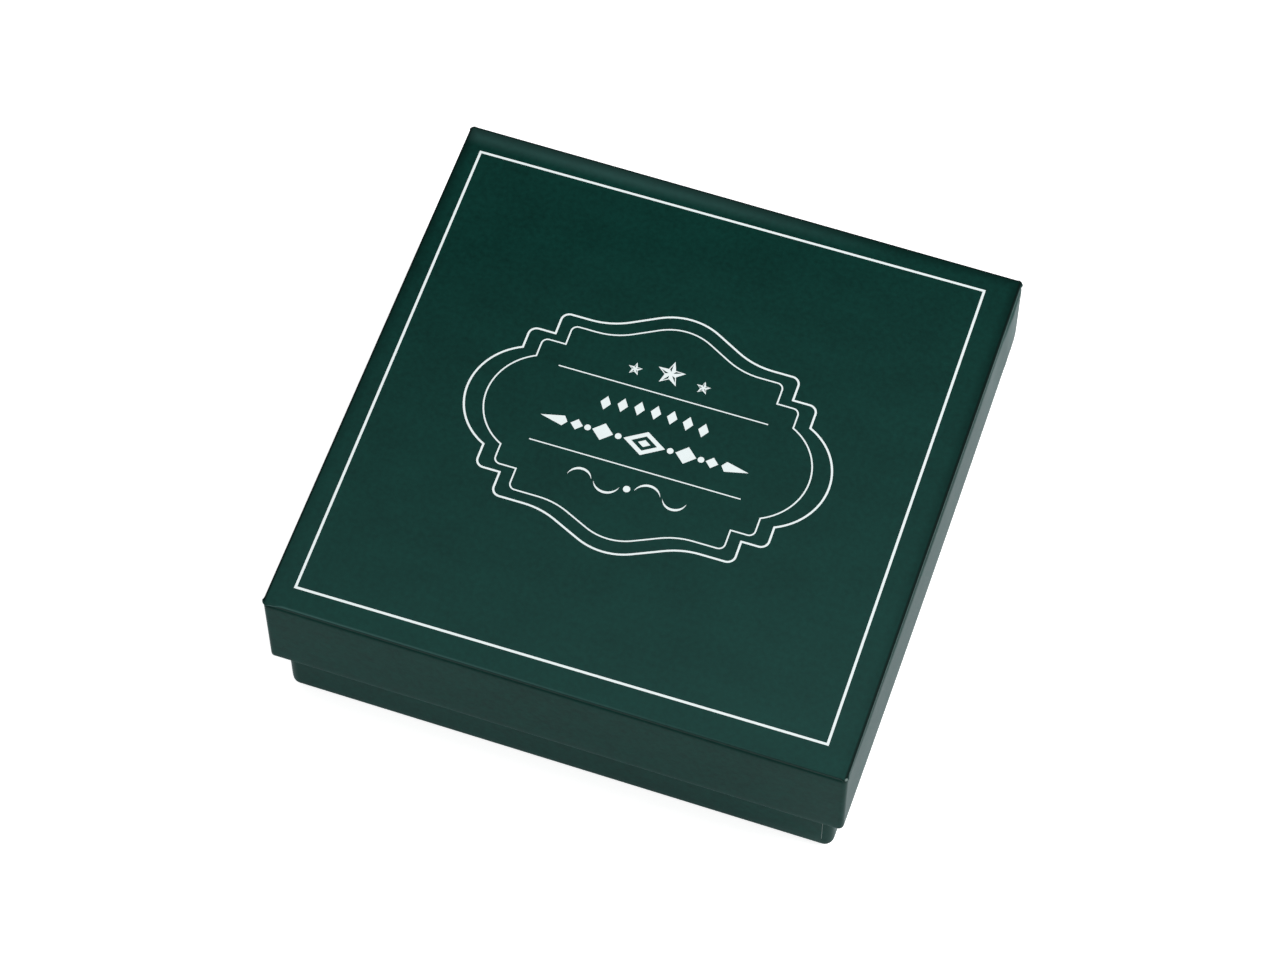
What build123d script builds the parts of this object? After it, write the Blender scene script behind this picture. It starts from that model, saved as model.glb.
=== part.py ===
"""Square two-piece rigid paperboard box with a lift-off lid, holding sixteen pralines in a card grid."""

from build123d import *
import os
from math import cos, radians, sin, sqrt

# Lengths are millimetres and angles are degrees. The box stands on z = 0 with its middle on the Z axis,
# its front faces -Y, and it is closed. A share is a part of the size that it is multiplied by.

# The closed box
box_width = 126.0
box_height = 39.6
lid_depth = 23.6
lid_clearance = 0.6

# Board and paper
board_thickness = 1.5
wrap_thickness = 0.2
lining_thickness = 0.2
tape_thickness = 0.1
tape_margin = 1.5
slit_width = 0.1

# Lid shell
lid_corner_radius = 1.1
lid_top_radius = 1.0
rim_radius = 0.5
lid_turn_in = 15.0
lid_tape_leg = 15.0

# Base shell
base_corner_radius = 2.1
base_bottom_radius = 2.0
base_turn_in = 14.0
base_turn_under = 10.0
base_tape_leg = 12.0
bottom_sheet_thickness = 0.2
bottom_sheet_margin = 4.0
lap_thickness = 0.15
lap_width = 14.0
lap_inset = 2.3

# Card grid
cells_per_side = 4
card_thickness = 0.8
grid_end_gap = 0.3
slot_clearance = 0.2
slot_floor_gap = 0.2
card_corner_radius = 3.0

# Fluted paper cups
cup_height = 15.0
cup_flare = 2.0
cup_wall = 0.15
cup_cell_gap = 0.3
pleat_depth = 0.8
pleat_count = 24

# Pralines
praline_gap = 0.4
dome_height = 18.0
dome_draw = 0.8
dome_crown_radius = 3.0
square_height = 16.0
square_corner_radius = 3.0
square_top_radius = 1.6
square_taper = 4.0
truffle_swell = 0.2
truffle_foot_cut = 2.0
rosette_step = 3.0
flute_count = 8
flute_radius = 2.2
nut_radius = 5.2
nut_foot_cut = 0.9
nut_sink = 4.0
nut_ledge = 2.0
nut_headroom = 12.15

# Cushion pad of paper wadding
pad_thickness = 3.8
pad_side_gap = 0.5
pad_seat_gap = 0.3
pad_head_gap = 0.5
pad_corner_radius = 2.0
pad_edge_radius = 1.2
quilt_rows = 8
quilt_groove_width = 1.6
quilt_groove_depth = 0.5

# Foil stamped on the lid, which is set a little out of square on it
foil_thickness = 0.05
foil_turn = 0.5
foil_shift_x = -0.87
foil_shift_y = 0.05
border_margin = 5.75
border_line = 0.55
plaque_half_width = 40.0
outer_line = 0.45
inner_line = 0.33
rule_half_length = 23.3
rule_line = 0.28
rule_high_y = 10.68
rule_low_y = -8.42
big_star_radius = 3.2
small_star_radius = 1.65
big_star_y = 16.1
small_star_y = 14.95
small_star_x = 7.6
small_row_half_width = 12.0
small_row_y = 5.0
small_row_rise = 1.0
small_row_count = 7
small_lozenge_half_width = 1.15
small_lozenge_half_height = 1.75
main_row_half_width = 23.0
main_row_half_height = 2.95
main_row_y = -1.95
flourish_half_width = 13.0
flourish_half_height = 2.2
flourish_y = -13.6
flourish_line = 0.55

# One length by which every cutting tool runs past what it cuts
overrun = 2.0

# Outlines of the two plaque lines, as shares of the plaque's half width: the side's middle, the two ends
# of the corner's first step, its shoulder, the crests of the upper and the lower edge, and the radii of
# the crest, of the valley beside it and of the corner.
outer_plaque_shares = (
    1.0, (0.8, 0.316), (0.8, 0.451), (0.6625, 0.59),
    (0.4, 0.807), (0.387, 0.7705), (0.35, 0.4325, 0.045),
)
inner_plaque_shares = (
    0.8925, (0.7143, 0.2875), (0.7143, 0.404), (0.589, 0.528),
    (0.355, 0.721), (0.335, 0.6845), (0.3, 0.4, 0.035),
)

# A star's waist, and the window in the shaded half of each arm
star_waist_share = 0.42
star_point_count = 5
star_window_shares = ((0.16, 0.03), (0.74, 0.03), (0.35, 0.165))

# The ornament's middle row, as shares of its half width and half height
main_centre_share = 0.2
main_window_share = 0.62
main_seed_share = 0.3
main_lozenge_shares = ((0.4, 0.1, 0.72), (0.65, 0.06, 0.45))
main_dot_place_shares = (0.25, 0.545)
main_dot_share = 0.24
main_bar_shares = ((0.74, 0.0), (0.78, -0.42), (1.0, 0.0), (0.78, 0.42))

# The flourish under it: the ends and middles of its crescents, as shares of its half width and height
flourish_crescent_shares = (((0.12, 0.0), (0.34, 1.0), (0.56, 0.1)), ((0.6, 0.05), (0.8, -0.8), (1.0, 0.2)))
flourish_dot_share = 0.35

# Sizes that follow from those above
lid_wall = wrap_thickness + board_thickness + lining_thickness
lid_rim_z = box_height - lid_depth
lid_board_width = box_width - 2 * wrap_thickness
lid_board_inside = lid_board_width - 2 * board_thickness
lid_cavity = box_width - 2 * lid_wall
lid_ceiling_z = box_height - lid_wall
base_width = lid_cavity - 2 * lid_clearance
base_rim_z = lid_ceiling_z
base_board_width = base_width - 2 * wrap_thickness
base_board_inside = base_board_width - 2 * board_thickness
base_cavity = base_board_inside - 2 * lining_thickness
base_wrap_z = bottom_sheet_thickness
base_board_z = base_wrap_z + wrap_thickness
base_panel_z = base_board_z + board_thickness
base_floor_z = base_panel_z + lining_thickness
grid_length = base_cavity - 2 * grid_end_gap
cell_width = (grid_length - (cells_per_side - 1) * card_thickness) / cells_per_side
cell_pitch = cell_width + card_thickness
pad_z = lid_ceiling_z - pad_head_gap - pad_thickness
grid_height = pad_z - pad_seat_gap - base_floor_z
cup_rim_radius = cell_width / 2 - cup_cell_gap
cup_foot_radius = cup_rim_radius - cup_flare
pleat_share = pleat_depth / cup_rim_radius
cup_foot_inside = (cup_foot_radius - cup_wall) * (1 - pleat_share)
praline_foot_radius = cup_foot_inside - praline_gap
praline_z = base_floor_z + cup_wall
dome_top_radius = praline_foot_radius - dome_draw
truffle_radius = praline_foot_radius + truffle_swell
nut_height = 2 * nut_radius - nut_foot_cut
rosette_height = pad_z - nut_headroom - (nut_height - nut_sink) - praline_z
rosette_top_radius = nut_radius + nut_ledge
pad_width = base_cavity - 2 * pad_side_gap
border_width = box_width - 2 * border_margin


def save(name, *shapes):
    """Write one named piece, or a group of like pieces, to its own file."""
    solids = [solid for shape in shapes for solid in shape.solids()]
    export_step(solids[0] if len(solids) == 1 else Compound(children=solids), f"parts/{name}.step")


def square_prism(width, low, high):
    """A square prism about the Z axis between two heights."""
    return Pos(0, 0, low) * extrude(Rectangle(width, width), high - low)


def rounded_block(width, low, high, corner_radius, top_radius, bottom_radius):
    """A square prism with rounded upright corners and rounded top and bottom edges."""
    prism = Pos(0, 0, low) * extrude(RectangleRounded(width, width, corner_radius), high - low)
    prism = fillet(prism.faces().sort_by(Axis.Z)[-1].edges(), top_radius)
    return fillet(prism.faces().sort_by(Axis.Z)[0].edges(), bottom_radius)


def lid_block(inset):
    """The lid's outer form, drawn in by an inset all round."""
    return rounded_block(
        box_width - 2 * inset, lid_rim_z + inset, box_height - inset,
        lid_corner_radius - inset, lid_top_radius - inset, rim_radius - inset,
    )


def base_block(inset):
    """The base's outer form, drawn in by an inset all round."""
    return rounded_block(
        base_width - 2 * inset, base_wrap_z + inset, base_rim_z - inset,
        base_corner_radius - inset, rim_radius - inset, base_bottom_radius - inset,
    )


def at_corners(piece, distance):
    """Four copies of a piece, turned to the four corners of a square."""
    return [Rot(0, 0, 90 * turn) * Pos(distance, distance, 0) * piece for turn in range(4)]


def corner_tapes(block, inner_block, width, leg, low, high):
    """Thin L-shaped strips that close the four corners of a folded board."""
    column = Pos(0, 0, low) * extrude(Rectangle(2 * leg, 2 * leg), high - low)
    skin = block - inner_block
    return [skin & corner for corner in at_corners(column, width / 2)]


def corner_slits(width, low, high):
    """Thin diagonal gaps where the folded walls of a board meet."""
    reach = 2 * (board_thickness + overrun)
    slit = Rot(0, 0, 45) * extrude(Rectangle(reach, slit_width), high - low)
    return at_corners(Pos(0, 0, low) * slit, width / 2)


def lid_tapes():
    """The tapes at the lid's corners, let into its board."""
    low = lid_rim_z + wrap_thickness + tape_margin
    high = box_height - lid_top_radius - tape_margin
    return corner_tapes(
        lid_block(wrap_thickness), lid_block(wrap_thickness + tape_thickness),
        lid_board_width, lid_tape_leg, low, high,
    )


def base_tapes():
    """The tapes at the base's corners, let into its board."""
    low = base_wrap_z + base_bottom_radius + tape_margin
    high = base_rim_z - wrap_thickness - tape_margin
    return corner_tapes(
        base_block(wrap_thickness), base_block(wrap_thickness + tape_thickness),
        base_board_width, base_tape_leg, low, high,
    )


def lid_board(tapes):
    """One scored and folded board: the top panel with four walls hanging from it."""
    panel_z = box_height - wrap_thickness - board_thickness
    board = lid_block(wrap_thickness) - square_prism(lid_board_inside, lid_rim_z - overrun, panel_z)
    return board - corner_slits(lid_board_width, lid_rim_z - overrun, panel_z) - tapes


def base_board(tapes):
    """One scored and folded board: the bottom panel with four walls standing on it."""
    board = base_block(wrap_thickness) - square_prism(base_board_inside, base_panel_z, base_rim_z + overrun)
    return board - corner_slits(base_board_width, base_panel_z, base_rim_z + overrun) - tapes


def lid_wrap(foils):
    """The covering paper: over the top, down the walls and up inside, pressed in for the foil."""
    shell = lid_block(0) - lid_block(wrap_thickness)
    shell = shell - square_prism(lid_cavity, lid_rim_z - overrun, lid_rim_z + wrap_thickness)
    turned_in = square_prism(lid_board_inside, lid_rim_z + wrap_thickness, lid_rim_z + lid_turn_in)
    turned_in = turned_in - square_prism(lid_cavity, lid_rim_z - overrun, lid_rim_z + lid_turn_in + overrun)
    return shell + turned_in - foils


def base_wrap():
    """The covering paper: round the walls, turned in at the rim and the bottom, lapped at a corner."""
    shell = base_block(0) - base_block(wrap_thickness)
    shell = shell - square_prism(base_cavity, base_rim_z - wrap_thickness, base_rim_z + overrun)
    shell = shell - square_prism(base_width - 2 * base_turn_under, base_wrap_z - overrun, base_board_z)
    turn_in_low = base_rim_z - base_turn_in
    turned_in = square_prism(base_board_inside, turn_in_low, base_rim_z - wrap_thickness)
    turned_in = turned_in - square_prism(base_cavity, turn_in_low - overrun, base_rim_z + overrun)
    lap_low = base_wrap_z + base_bottom_radius
    lap_height = base_rim_z - rim_radius - lap_low
    lap_depth = lap_thickness + wrap_thickness
    lap = Box(lap_width, lap_depth, lap_height, align=(Align.MAX, Align.MIN, Align.MIN))
    lap = Pos(base_width / 2 - lap_inset, -base_width / 2 - lap_thickness, lap_low) * lap
    return shell + turned_in + lap


def lid_lining():
    """The paper that lines the lid's ceiling and its walls above the turned-in wrap."""
    high = box_height - wrap_thickness - board_thickness
    low = lid_rim_z + lid_turn_in
    return square_prism(lid_board_inside, low, high) - square_prism(lid_cavity, low - overrun, lid_ceiling_z)


def base_lining():
    """The paper that lines the base's floor and its walls below the turned-in wrap."""
    high = base_rim_z - base_turn_in
    return square_prism(base_board_inside, base_panel_z, high) - square_prism(
        base_cavity, base_floor_z, high + overrun
    )


def base_bottom_sheet():
    """The sheet glued under the base, which sinks into the gap inside the turned-under wrap."""
    sheet = square_prism(base_width - 2 * base_turn_under, 0, base_board_z)
    return sheet + square_prism(base_width - 2 * (base_bottom_radius + bottom_sheet_margin), 0, base_wrap_z)


def divider(slots_open_upward):
    """One card strip of the grid along X, with a half-height slot for each card that crosses it."""
    card = extrude(Rectangle(grid_length, grid_height, align=(Align.CENTER, Align.MIN)), card_thickness)
    top_corners = card.edges().filter_by(Axis.Z).group_by(Axis.Y)[-1]
    card = fillet(top_corners, card_corner_radius)
    slot_height = grid_height / 2 + slot_floor_gap / 2
    slot_middle = grid_height - slot_height / 2 if slots_open_upward else slot_height / 2
    shift = overrun / 2 if slots_open_upward else -overrun / 2
    slot = Box(card_thickness + slot_clearance, slot_height + overrun, card_thickness + overrun)
    for index in range(1, cells_per_side):
        place = (index - cells_per_side / 2) * cell_pitch
        card = card - Pos(place, slot_middle + shift, card_thickness / 2) * slot
    return Pos(0, card_thickness / 2, base_floor_z) * Rot(90, 0, 0) * card


def zigzag(outer_radius, height):
    """Corner points of one ring of pleats."""
    step = 180 / pleat_count
    inner_radius = outer_radius * (1 - pleat_share)
    ring = []
    for index in range(2 * pleat_count):
        radius = outer_radius if index % 2 == 0 else inner_radius
        ring.append(Vector(radius * cos(radians(index * step)), radius * sin(radians(index * step)), height))
    return ring


def between_rings(lower, upper):
    """The flat-sided solid between two rings of points that have the same form."""
    faces = [Face(Wire.make_polygon(lower)), Face(Wire.make_polygon(upper))]
    for index, point in enumerate(lower):
        following = (index + 1) % len(lower)
        faces.append(Face(Wire.make_polygon([point, lower[following], upper[following], upper[index]])))
    return Solid(Shell(faces))


def paper_cup():
    """A fluted paper cup, standing on z = 0."""
    slope = cup_flare / cup_height
    outside = between_rings(zigzag(cup_foot_radius, 0), zigzag(cup_rim_radius, cup_height))
    low_radius = cup_foot_radius - cup_wall + slope * cup_wall
    high_radius = cup_rim_radius - cup_wall + slope * overrun
    inside = between_rings(zigzag(low_radius, cup_wall), zigzag(high_radius, cup_height + overrun))
    return outside - inside


def dome_praline():
    """A round praline that draws in a little towards its domed top."""
    upright = (Align.CENTER, Align.CENTER, Align.MIN)
    block = Cone(praline_foot_radius, dome_top_radius, dome_height, align=upright)
    return fillet(block.faces().sort_by(Axis.Z)[-1].edges(), dome_top_radius - dome_crown_radius)


def square_praline():
    """A square praline that narrows a little towards its rounded top."""
    side = sqrt(2) * (praline_foot_radius - square_corner_radius) + 2 * square_corner_radius
    block = extrude(RectangleRounded(side, side, square_corner_radius), square_height, taper=square_taper)
    return fillet(block.faces().sort_by(Axis.Z)[-1].edges(), square_top_radius)


def truffle_praline():
    """A ball with a flat foot."""
    ball = Pos(0, 0, truffle_radius - truffle_foot_cut) * Sphere(truffle_radius)
    return ball - Box(
        4 * truffle_radius, 4 * truffle_radius, truffle_radius, align=(Align.CENTER, Align.CENTER, Align.MAX)
    )


def rosette_praline():
    """A fluted cone on a round foot, with a nut's seat pressed into its flat top."""
    cone_height = rosette_height - rosette_step
    upright = (Align.CENTER, Align.CENTER, Align.MIN)
    body = Cylinder(praline_foot_radius, rosette_step, align=upright)
    cone = Cone(praline_foot_radius, rosette_top_radius, cone_height, align=upright)
    body = body + Pos(0, 0, rosette_step) * cone
    run = praline_foot_radius - rosette_top_radius
    flute = Cylinder(flute_radius, sqrt(run**2 + cone_height**2) + 2 * flute_radius)
    reach = (praline_foot_radius + rosette_top_radius + flute_radius) / 2
    middle = (reach, 0, rosette_step + cone_height / 2)
    lean = Plane(origin=middle, x_dir=(0, 1, 0), z_dir=(-run, 0, cone_height))
    for index in range(flute_count):
        body = body - Rot(0, 0, index * 360 / flute_count) * lean * flute
    body = body.solids().sort_by(SortBy.VOLUME)[-1]
    return body - Pos(0, 0, rosette_height - nut_sink) * nut()


def nut():
    """A round nut kernel with the small flat by which it sits on a praline."""
    kernel = Pos(0, 0, nut_radius - nut_foot_cut) * Sphere(nut_radius)
    return kernel - Box(
        4 * nut_radius, 4 * nut_radius, nut_radius, align=(Align.CENTER, Align.CENTER, Align.MAX)
    )


def cushion_pad():
    """The wadding pad that lies on the grid, with pressed quilting lines in its upper face."""
    pad = rounded_block(pad_width, 0, pad_thickness, pad_corner_radius, pad_edge_radius, pad_edge_radius)
    half_groove = quilt_groove_width / 2
    section = Plane.YZ * Polygon((-half_groove, 0), (half_groove, 0), (0, -quilt_groove_depth), align=None)
    groove = Pos(0, 0, pad_thickness) * extrude(section, pad_width / 2 + overrun, both=True)
    for index in range(1, quilt_rows):
        place = (index - quilt_rows / 2) * pad_width / quilt_rows
        pad = pad - Pos(0, place, 0) * groove - Pos(place, 0, 0) * Rot(0, 0, 90) * groove
    return Pos(0, 0, pad_z) * pad


def stamped(*sketches):
    """Foil of the given outlines, pressed level into the lid's top."""
    place = Pos(foil_shift_x, foil_shift_y, box_height - foil_thickness) * Rot(0, 0, foil_turn)
    return [place * extrude(sketch, foil_thickness, dir=(0, 0, 1)) for sketch in sketches]


def plaque_edge(shares, crest_shares, upward):
    """The stepped and crested edge of the plaque, from one side's end over to the other's."""
    (step_x, side_end_y), (_, step_y), (shoulder_x, shoulder_y) = shares[1:4]
    crest_x, crest_y = crest_shares
    crest, valley, corner = [share * plaque_half_width for share in shares[-1]]
    half = [(step_x, side_end_y), (step_x, step_y), (shoulder_x, step_y)]
    half += [(shoulder_x, shoulder_y), (crest_x, shoulder_y)]
    outline = half + [(0, crest_y)] + [(-x, y) for x, y in reversed(half)]
    points = [(x * plaque_half_width, y * upward * plaque_half_width) for x, y in outline]
    return FilletPolyline(*points, radius=[corner, 0, corner, valley, crest, valley, corner, 0, corner])


def plaque_line(shares, width):
    """One line of the plaque's outline, as a closed band of even width."""
    side, end_x, end_y = [share * plaque_half_width for share in (shares[0], *shares[1])]
    flanks = [ThreePointArc((way * end_x, end_y), (way * side, 0), (way * end_x, -end_y)) for way in (1, -1)]
    high_crest_shares, low_crest_shares = shares[4:6]
    edges = [plaque_edge(shares, high_crest_shares, 1), plaque_edge(shares, low_crest_shares, -1)]
    plaque = make_face(Curve() + edges + flanks)
    outside = offset(plaque, width / 2, kind=Kind.INTERSECTION)
    return outside - offset(plaque, -width / 2, kind=Kind.INTERSECTION)


def star(radius):
    """A five-pointed star whose arms are open in their shaded halves."""
    arm = 360 / star_point_count
    outline = []
    for index in range(star_point_count):
        tip = radians(90 + index * arm)
        waist = tip + radians(arm / 2)
        outline.append((radius * cos(tip), radius * sin(tip)))
        outline.append((radius * star_waist_share * cos(waist), radius * star_waist_share * sin(waist)))
    shape = Polygon(*outline, align=None)
    window = Polygon(*[(radius * along, radius * across) for along, across in star_window_shares], align=None)
    for index in range(star_point_count):
        shape = shape - Rot(0, 0, 90 + index * arm) * window
    return shape


def lozenge(half_width, half_height):
    """An upright diamond about the origin."""
    return Polygon((half_width, 0), (0, half_height), (-half_width, 0), (0, -half_height), align=None)


def small_row():
    """A row of small diamonds on a shallow arch."""
    row = []
    for index in range(small_row_count):
        along = 2 * index / (small_row_count - 1) - 1
        rise = small_row_rise * (1 - along**2)
        place = Pos(along * (small_row_half_width - small_lozenge_half_width), small_row_y + rise, 0)
        row.append(place * lozenge(small_lozenge_half_width, small_lozenge_half_height))
    return row


def main_row():
    """The ornament's bold middle row: an open diamond between solid ones, dots and tapered bars."""
    width, height = main_row_half_width, main_row_half_height
    centre = lozenge(width * main_centre_share, height)
    centre = centre - lozenge(width * main_centre_share * main_window_share, height * main_window_share)
    seed = lozenge(width * main_centre_share * main_seed_share, height * main_seed_share)
    row = [centre, seed]
    bar = Polygon(*[(width * x, height * y) for x, y in main_bar_shares], align=None)
    for way in (1, -1):
        row.append(Rot(0, 0, 90 - 90 * way) * bar)
        for place, half_width, half_height in main_lozenge_shares:
            row.append(Pos(way * width * place, 0) * lozenge(width * half_width, height * half_height))
        for place in main_dot_place_shares:
            row.append(Pos(way * width * place, 0) * Circle(height * main_dot_share))
    return [Pos(0, main_row_y) * piece for piece in row]


def crescent(start, middle, end):
    """A sliver between two arcs that share their ends, given as shares of the flourish's half size."""
    points = [(x * flourish_half_width, y * flourish_half_height) for x, y in (start, middle, end)]
    (start_point, (middle_x, middle_y), end_point) = points
    upper = ThreePointArc(start_point, (middle_x, middle_y + flourish_line / 2), end_point)
    lower = ThreePointArc(start_point, (middle_x, middle_y - flourish_line / 2), end_point)
    return make_face(Curve() + [upper, lower])


def flourish():
    """Two waves of slender crescents either side of a dot."""
    row = [Circle(flourish_half_height * flourish_dot_share)]
    for points in flourish_crescent_shares:
        wave = crescent(*points)
        row += [wave, Rot(0, 0, 180) * wave]
    return [Pos(0, flourish_y) * piece for piece in row]


def foil_pieces():
    """Every piece of the stamped foil by name."""
    border = Rectangle(border_width + border_line, border_width + border_line)
    border = border - Rectangle(border_width - border_line, border_width - border_line)
    rule = Rectangle(2 * rule_half_length, rule_line)
    small_star = star(small_star_radius)
    stars = [Pos(0, big_star_y) * star(big_star_radius)]
    stars += [Pos(way * small_star_x, small_star_y) * small_star for way in (1, -1)]
    return {
        "foil_border": stamped(border),
        "foil_plaque_outer": stamped(plaque_line(outer_plaque_shares, outer_line)),
        "foil_plaque_inner": stamped(plaque_line(inner_plaque_shares, inner_line)),
        "foil_rules": stamped(Pos(0, rule_high_y) * rule, Pos(0, rule_low_y) * rule),
        "foil_stars": stamped(*stars),
        "foil_small_row": stamped(*small_row()),
        "foil_main_row": stamped(*main_row()),
        "foil_flourish": stamped(*flourish()),
    }


def make_lid():
    """The lid's shell, its paper and its foil."""
    tapes = lid_tapes()
    foils = foil_pieces()
    save("lid_board", lid_board(tapes))
    save("lid_corner_tapes", *tapes)
    save("lid_wrap", lid_wrap([solid for group in foils.values() for solid in group]))
    save("lid_lining", lid_lining())
    for name, group in foils.items():
        save(name, *group)


def make_base():
    """The base's shell and its paper."""
    tapes = base_tapes()
    save("base_board", base_board(tapes))
    save("base_corner_tapes", *tapes)
    save("base_wrap", base_wrap())
    save("base_lining", base_lining())
    save("base_bottom_sheet", base_bottom_sheet())


def make_grid():
    """The crossing card strips and the pad on them."""
    across = divider(True)
    deep = Rot(0, 0, 90) * divider(False)
    for index in range(1, cells_per_side):
        place = (index - cells_per_side / 2) * cell_pitch
        save(f"divider_across_{index}", Pos(0, place, 0) * across)
        save(f"divider_deep_{index}", Pos(place, 0, 0) * deep)
    save("cushion_pad", cushion_pad())


def make_contents():
    """One cup and one praline in each cell, with each kind on its own diagonal."""
    cup = paper_cup()
    kinds = [
        ("dome", dome_praline()), ("square", square_praline()),
        ("truffle", truffle_praline()), ("rosette", rosette_praline()),
    ]
    nuts = []
    for row in range(cells_per_side):
        for column in range(cells_per_side):
            x = (column - (cells_per_side - 1) / 2) * cell_pitch
            y = (row - (cells_per_side - 1) / 2) * cell_pitch
            kind, praline = kinds[(row + column) % len(kinds)]
            place = f"{row + 1}{column + 1}"
            save(f"paper_cup_{place}", Pos(x, y, base_floor_z) * cup)
            save(f"{kind}_praline_{place}", Pos(x, y, praline_z) * praline)
            if kind == "rosette":
                nuts.append(Pos(x, y, praline_z + rosette_height - nut_sink) * nut())
    save("praline_nuts", *nuts)


os.makedirs("parts", exist_ok=True)
make_lid()
make_base()
make_grid()
make_contents()
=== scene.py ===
"""Dresses a square praline box: covering papers, stamped foil, card grid, cushion, cups and pralines."""

from math import cos, hypot, pi, radians, sin
from types import SimpleNamespace

import bpy
from mathutils import Matrix, Vector, noise


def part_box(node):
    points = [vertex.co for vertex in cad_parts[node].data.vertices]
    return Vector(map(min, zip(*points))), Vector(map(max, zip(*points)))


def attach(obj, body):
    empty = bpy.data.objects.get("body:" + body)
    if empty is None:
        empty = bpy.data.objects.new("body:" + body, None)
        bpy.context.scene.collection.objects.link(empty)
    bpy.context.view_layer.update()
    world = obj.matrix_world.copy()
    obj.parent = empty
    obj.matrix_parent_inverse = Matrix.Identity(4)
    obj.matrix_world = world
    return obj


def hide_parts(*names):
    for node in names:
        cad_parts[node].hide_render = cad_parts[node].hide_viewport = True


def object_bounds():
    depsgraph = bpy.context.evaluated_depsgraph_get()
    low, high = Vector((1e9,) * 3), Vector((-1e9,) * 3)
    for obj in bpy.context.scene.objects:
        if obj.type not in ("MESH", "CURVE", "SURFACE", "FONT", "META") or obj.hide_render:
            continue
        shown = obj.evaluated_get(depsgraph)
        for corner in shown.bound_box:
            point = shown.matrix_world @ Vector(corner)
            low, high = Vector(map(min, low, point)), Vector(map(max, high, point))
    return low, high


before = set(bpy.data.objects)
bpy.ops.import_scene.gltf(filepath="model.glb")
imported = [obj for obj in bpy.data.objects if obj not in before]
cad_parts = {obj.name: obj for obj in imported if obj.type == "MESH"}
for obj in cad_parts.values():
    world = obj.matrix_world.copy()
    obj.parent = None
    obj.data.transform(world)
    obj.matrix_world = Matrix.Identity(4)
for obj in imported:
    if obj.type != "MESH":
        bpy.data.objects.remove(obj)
cad_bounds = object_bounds()

bl_info = {
    "name": "Praline Box",
    "version": (1, 0, 0),
    "blender": (4, 5, 0),
    "location": "3D View > Sidebar > Praline Box",
    "description": "Covers, stamps and fills a two-piece praline box around its solid model",
    "category": "Add Mesh",
}

MM = 0.001
LENGTH = {"subtype": "DISTANCE", "unit": "LENGTH", "precision": 5}

SIDE_STEPS, CORNER_STEPS = 56, 6  # faces of a covering paper along a wall and round a corner
LEAST_CORNER = 0.05 * MM  # corner radius of the innermost profile points
INNER_CORNER = 0.3 * MM  # corner radius of paper that is turned in
SHEET_SHARE = 0.9  # share of the covering paper's thickness that its visible sheet takes
TOP_INSETS = (1.4, 2.2, 4, 8, 15, 25, 37, 50, 60)  # rings on the lid's top, in millimetres from its edge
LAP_FOOT, LAP_HEAD = 2.3 * MM, 0.8 * MM  # bare strips of the base's walls under its lap and over it
HAIR = 0.01 * MM  # tolerance with which a ring of points counts as lying on a wall
DOME_POWER = 2.6  # how squarely the domed praline bends over


def paint(red, green, blue):
    """A colour written in 0 to 255, as the linear values that shaders take."""
    parts = [value / 255 for value in (red, green, blue)]
    return tuple(p / 12.92 if p <= 0.04045 else ((p + 0.055) / 1.055) ** 2.4 for p in parts)


def colour(name, description, shade):
    """A colour setting."""
    return bpy.props.FloatVectorProperty(
        name=name, description=description, default=paint(*shade), subtype="COLOR", min=0, max=1
    )


def length(name, description, millimetres):
    """A length setting, written in millimetres and kept in metres."""
    return bpy.props.FloatProperty(name=name, description=description, default=millimetres * MM, **LENGTH)


def amount(name, description, value):
    """A plain number setting."""
    return bpy.props.FloatProperty(name=name, description=description, default=value)


def turning(name, description, degrees):
    """An angle setting, written in degrees and kept in radians."""
    return bpy.props.FloatProperty(
        name=name, description=description, default=radians(degrees), subtype="ANGLE"
    )


class PaperSettings(bpy.types.PropertyGroup):
    """The green covering paper and how it lies on the boards."""

    green: colour("Paper green", "Colour of the covering paper", (9, 48, 42))
    # Pale green of the painted highlights and painted reflections on the lid.
    highlight_green: colour("Rubbed green", "Colour of the paper where it is rubbed", (62, 94, 91))
    cut_edge: colour("Cut edge", "Colour of the paper where it is cut", (132, 150, 146))
    gloss_spread: amount("Roughness", "Roughness of the covering paper", 0.36)
    sheen_level: amount("Specular level", "Strength of the paper's surface reflection", 0.022)
    grain: length("Grain", "Size of the paper's felt marks", 1.2)
    mottle: length("Mottle", "Size of the paper's soft cloudy patches", 9.0)
    lid_edge: length("Lid edge radius", "Roundness of the lid's top edge", 0.6)
    lid_corner: length("Lid corner radius", "Roundness of the lid's upright corners", 1.1)
    base_edge: length("Base edge radius", "Roundness of the base's bottom edge", 2.0)
    base_corner: length("Base corner radius", "Roundness of the base's upright corners", 2.1)
    rim_edge: length("Rim radius", "Roundness of the paper over a rim", 0.5)
    crease: length("Crease depth", "Depth of the crease under the lid's top edge", 0.07)
    crease_drop: length("Crease drop", "How far the crease lies under the lid's top", 1.45)
    crease_width: length("Crease width", "Half the width of the crease", 0.4)
    wave: length("Wave height", "Height of the slow waves in the walls' paper", 0.05)
    bulge: length("Bulge height", "Swelling of the right wall near its back corner", 0.3)
    bow: length("Bow", "Swelling of the right wall's rim along its middle", 0.22)
    ripple: length("Ripple", "Height of the upright ripples beside the swelling", 0.05)
    fold_tip: length("Fold tip", "How far the folded paper stands out at a corner", 0.28)
    tab_inset: length("Tab inset", "Distance of the folded tab's edge from the corner", 0.9)
    tab_step: length("Tab step", "Height of the folded tab's edge", 0.06)
    lap_inset: length("Lap inset", "Distance of the lap's edge from the base's front right corner", 2.3)
    lap_width: length("Lap width", "Width of the lap in the base's paper", 14.0)
    lap_step: length("Lap step", "Height of the lap's cut edge", 0.15)
    relief: length("Foil relief", "How far the foil stands above the paper beside it", 0.02)


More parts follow.
